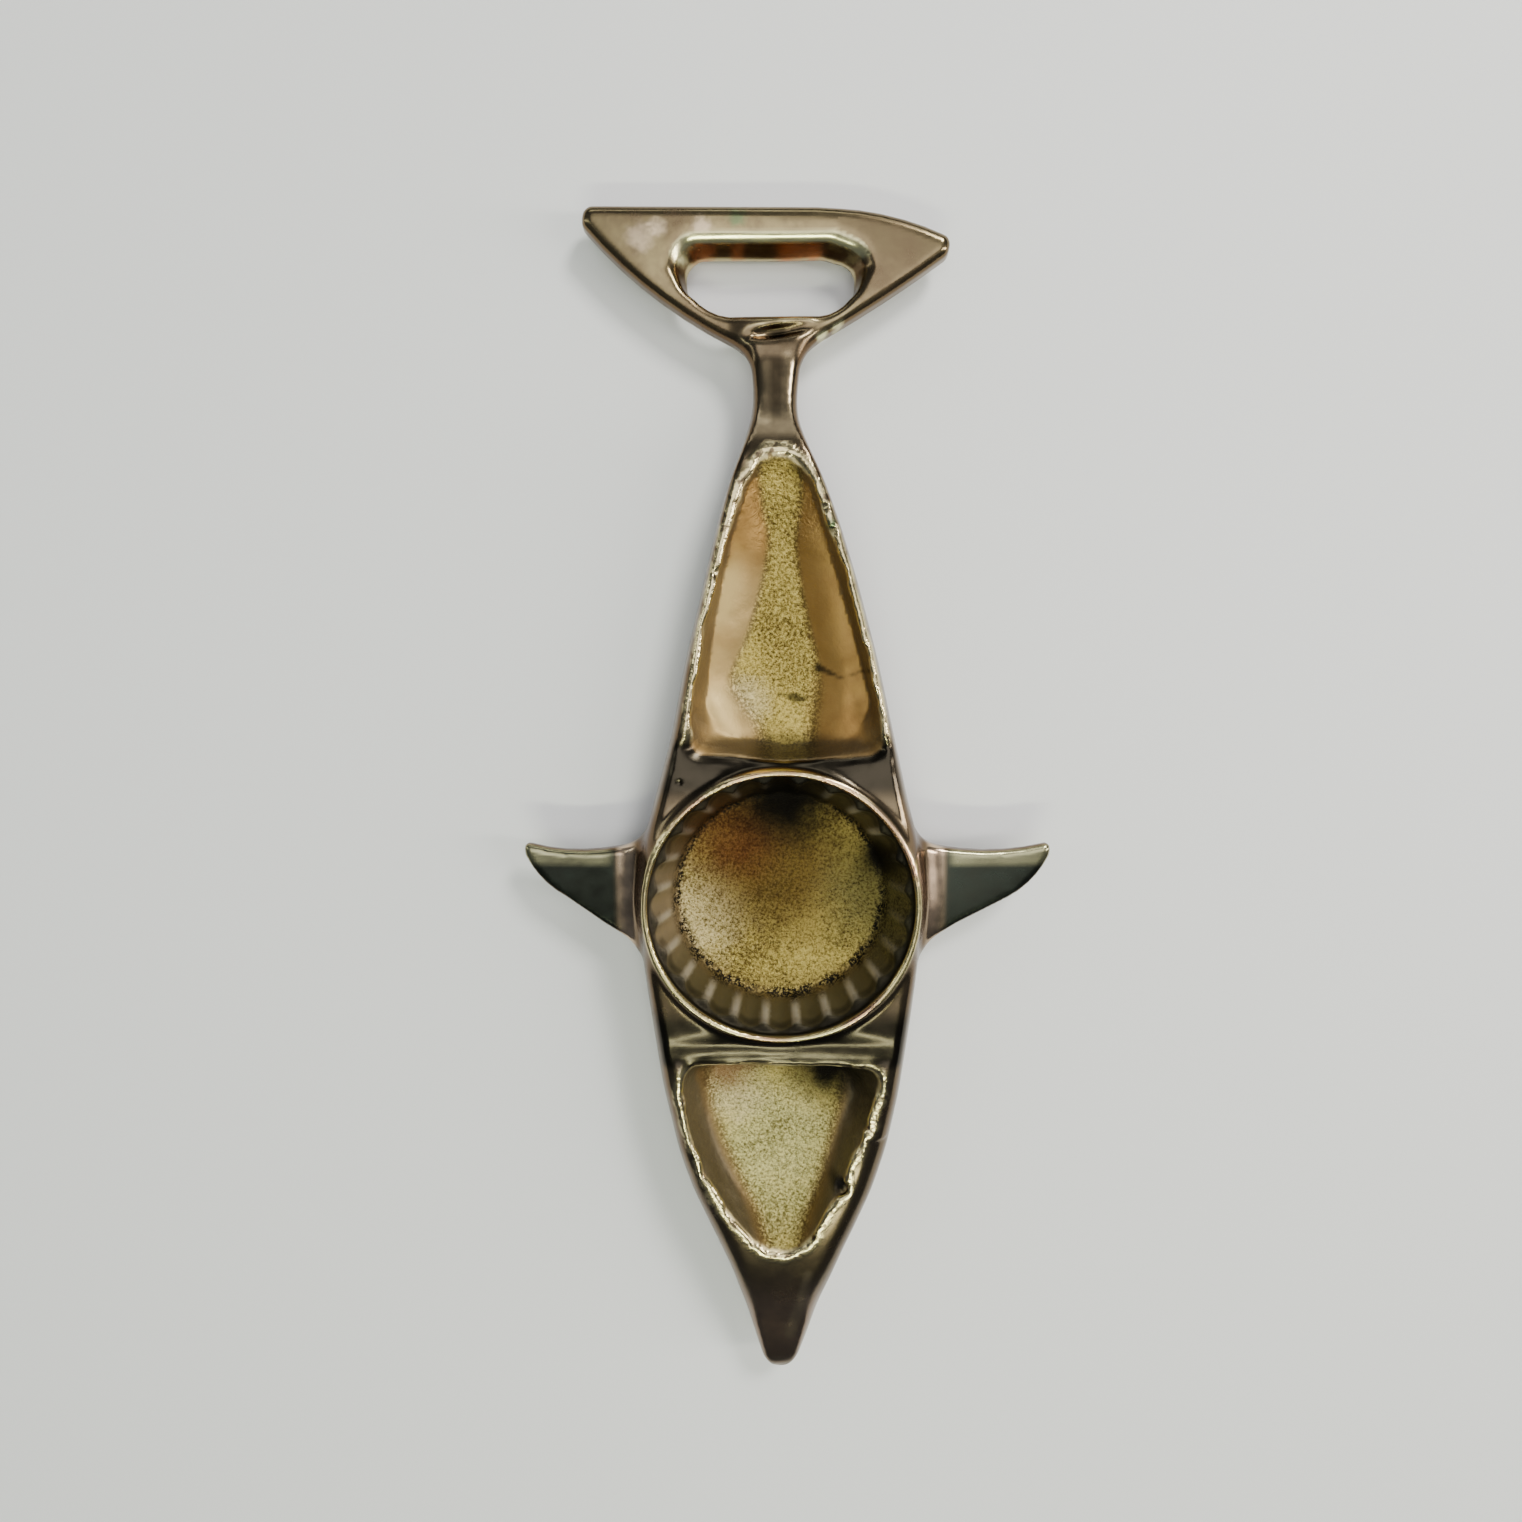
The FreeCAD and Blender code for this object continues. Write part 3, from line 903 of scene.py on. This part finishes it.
def cast_colour(shader, place, clouds, smears, grains):
    """The inside: tan cheeks, sandy beds and the stained socket, with painted shadows and shade in the
    socket, the nooks and the hollows' ends, and painted light on the left-hand cheeks, walls and sand.
    """
    bed, nook, socket, ridge, shaded, wall, crack = [
        shader.mask(name) for name in (
            "grain", "nook", "socket", "ridge", "shaded", "wall", "crack")]
    grit = shader.step(grains + 0.35 * clouds, 0.48, 0.84)
    cheeks = shader.mix(shader.step(clouds + 0.4 * smears, 0.55, 1.1), CHEEK_TAN, CHEEK_BROWN)
    cheeks = shader.mix(0.7 * stain_and_light_spots(shader, place, LIT_CHEEKS, clouds), cheeks, CHEEK_PALE)
    sand = shader.mix(grit, SAND_DARK, SAND_GOLD)
    pale_sand = shader.mix(grit, SAND_OLIVE, SAND_PALE)
    sand = shader.mix(0.85 * stain_and_light_spots(shader, place, NOSE_STAINS, clouds), sand, pale_sand)
    # painted highlights: pale cream on the sand grains at the left of the socket and of both hollows
    sand = shader.mix(0.7 * grit * stain_and_light_spots(shader, place, LIT_SAND_SPOTS, smears), sand, SAND_HIGHLIGHT_CREAM)
    colour = shader.mix(bed, cheeks, sand)
    # darker tint on the hollows' steep walls: partly the cast skin, partly painted shade
    colour = shader.mix(wall, colour, HOLLOW_WALL)
    socket_wall = shader.mix(stain_and_light_spots(shader, place, LIT_WALLS, clouds), WALL_TARNISH, WALL_TAN)
    colour = shader.mix(socket * (1 - bed), colour, socket_wall)
    # painted highlight: pale grey along the flutes' ridges
    colour = shader.mix(0.62 * ridge, colour, RIDGE_HIGHLIGHT_GREY)
    # painted shade: a darker brown over the middle of the socket floor
    brown = shader.mix(grit, FLOOR_SHADE_DARK, FLOOR_SHADE_GOLD)
    colour = shader.mix(0.95 * stain_and_light_spots(shader, place, SOCKET_FLOOR_SHADE, smears, 0.35), colour, brown)
    copper = shader.mix(grit, COPPER_DARK, COPPER_BLUSH)
    colour = shader.mix(0.8 * stain_and_light_spots(shader, place, COPPER_STAINS, smears, 0.35), colour, copper)
    colour = shader.mix(0.8 * stain_and_light_spots(shader, place, RUST_STAINS, smears), colour, RUST)
    olive = shader.mix(grit, SHADE_AND_GRIME_BLACK, OLIVE_TARNISH)
    colour = shader.mix(0.85 * stain_and_light_spots(shader, place, OLIVE_STAINS, smears, 0.5), colour, olive)
    pitting = 0.5 + 0.9 * socket * shader.step(smears, 0.42, 0.55)
    bed_edge = 4.0 * bed * (1 - bed) * pitting
    colour = shader.mix(bed_edge * shader.step(grains, 0.60, 0.48), colour, SHADE_AND_GRIME_BLACK)
    # painted shade, near black, in the nooks of the cast inside
    colour = shader.mix(0.8 * shader.step(nook, 0.30, 0.95), colour, SHADE_AND_GRIME_BLACK)
    # painted shade under the lip and on the hollows' end walls
    colour = shader.mix(0.9 * shaded, colour, SHADE_AND_GRIME_BLACK)
    colour = shader.mix(0.8 * crack, colour, SHADE_AND_GRIME_BLACK)
    # painted shadows in the socket and the nose hollow, near black
    return shader.mix(stain_and_light_spots(shader, place, PAINTED_SHADOWS, smears, 0.5), colour, SHADE_AND_GRIME_BLACK)


def brass_material():
    """Hand-polished brass with a brown patina outside, and sandy gold inside the hollows, with painted
    highlights and shade in its colour.
    """
    shader = Shader("polished_and_cast_brass")
    place = shader.node("ShaderNodeTexCoord", {}, output="Object")
    cast, bed, wall, rim, lip = [
        shader.mask(name) for name in ("as_cast", "grain", "wall", "rim", "lip")]
    clouds = shader.noise(place, 0.11 / MM, 4.0)
    smears = shader.noise(place, 0.45 / MM, 5.0, 0.65)
    grains = shader.noise(place, 2.9 / MM, 3.0, 0.8)
    specks = shader.noise(place, 1.1 / MM, 2.0, 0.5)
    folds = shader.noise(place, 1.0 / MM, 2.0, 0.5, 1.5)
    patina = shader.step(clouds + 0.4 * smears, 0.55, 0.95)

    polished = polished_colour(shader, place, clouds, smears, specks, patina)
    colour = shader.mix(cast, polished, cast_colour(shader, place, clouds, smears, grains))
    # darkens the dimple in the tail plate
    colour = shader.mix(0.8 * stain_and_light_spots(shader, place, DIMPLE_DARKENING, smears), colour, SHADE_AND_GRIME_BLACK)
    colour = shader.mix(0.9 * rim * shader.step(specks, 0.34, 0.50), colour, RIM_GOLD)
    lip_tint = shader.mix(shader.step(clouds, 0.38, 0.55), LIP_PINK, LIP_GOLD)
    colour = shader.mix(0.9 * lip, colour, lip_tint)
    colour = shader.mix(0.55 * stain_and_light_spots(shader, place, GREEN_STAINS, specks), colour, VERDIGRIS)

    roughness = 0.15 + 0.10 * smears + 0.08 * patina + cast * (0.30 - 0.02 * bed)
    metallic = 1 - cast * (0.22 - 0.10 * bed)
    rough_cast = cast * (bed * grains + 0.08 * grains + 0.35 * smears + 0.9 * wall * smears)
    wrinkle = cast * stain_and_light_spots(shader, place, WRINKLES, clouds) * folds
    height = rough_cast + 0.4 * rim * specks + 0.02 * smears + 1.6 * wrinkle
    bump = shader.node("ShaderNodeBump", {}, Strength=1.0, Distance=0.24 * MM, Height=height)
    surface = shader.node("ShaderNodeBsdfPrincipled", {}, Base_Color=colour, Metallic=metallic,
                          Roughness=roughness, Normal=bump)
    shader.node("ShaderNodeOutputMaterial", {}, surface)
    return shader.material


def floor_material():
    shader = Shader("pale_floor")
    surface = shader.node("ShaderNodeBsdfPrincipled", {}, Base_Color=(0.78, 0.80, 0.82, 1), Roughness=0.6)
    shader.node("ShaderNodeOutputMaterial", {}, surface)
    return shader.material


def make_floor():
    mesh = bpy.data.meshes.new("floor")
    side = 3.0
    corners = [(-side, -side, 0), (side, -side, 0), (side, side, 0), (-side, side, 0)]
    mesh.from_pydata(corners, [], [(0, 1, 2, 3)])
    mesh.materials.append(floor_material())
    floor = bpy.data.objects.new("floor", mesh)
    bpy.context.collection.objects.link(floor)


# Soft lights, all aimed at the origin: name, place, width and height, power, colour
LIGHTS = [
    ("overhead", (0.02, 0.05, 0.75), (0.5, 0.5), 2.2, (1.0, 0.98, 0.95)),
    ("key", (0.26, 0.44, 0.46), (0.15, 0.15), 3.6, (1.0, 0.97, 0.90)),
    ("front_strip", (0.0, -0.36, 0.50), (0.34, 0.04), 1.6, (0.95, 1.0, 0.72)),
    ("back_panel", (0.0, 0.75, 0.36), (0.8, 0.12), 0.9, (0.97, 1.0, 0.95)),
    ("left_strip", (-0.50, 0.12, 0.30), (0.04, 0.5), 0.35, (0.95, 1.0, 0.9)),
    ("right_strip", (0.52, 0.0, 0.34), (0.05, 0.5), 2.4, (1.0, 0.93, 0.85)),
]
ROOM_COLOUR = (0.80, 0.88, 1.0, 1)
ROOM_STRENGTH = 0.14


def soft_light(name, place, size, power, colour):
    data = bpy.data.lights.new(name, "AREA")
    data.shape = "RECTANGLE"
    data.size, data.size_y = size
    data.energy = power
    data.color = colour
    light = bpy.data.objects.new(name, data)
    light.location = place
    direction = light.location.copy()
    light.rotation_euler = direction.to_track_quat("Z", "Y").to_euler()
    bpy.context.collection.objects.link(light)


def make_lights():
    world = bpy.data.worlds.new("studio")
    world.use_nodes = True
    background = world.node_tree.nodes["Background"]
    background.inputs["Color"].default_value = ROOM_COLOUR
    background.inputs["Strength"].default_value = ROOM_STRENGTH
    bpy.context.scene.world = world
    for light in LIGHTS:
        soft_light(*light)


make_camera()
make_floor()
make_lights()
casting = make_casting()
casting.data.materials.append(brass_material())
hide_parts("opener_casting")
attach(casting, "root")
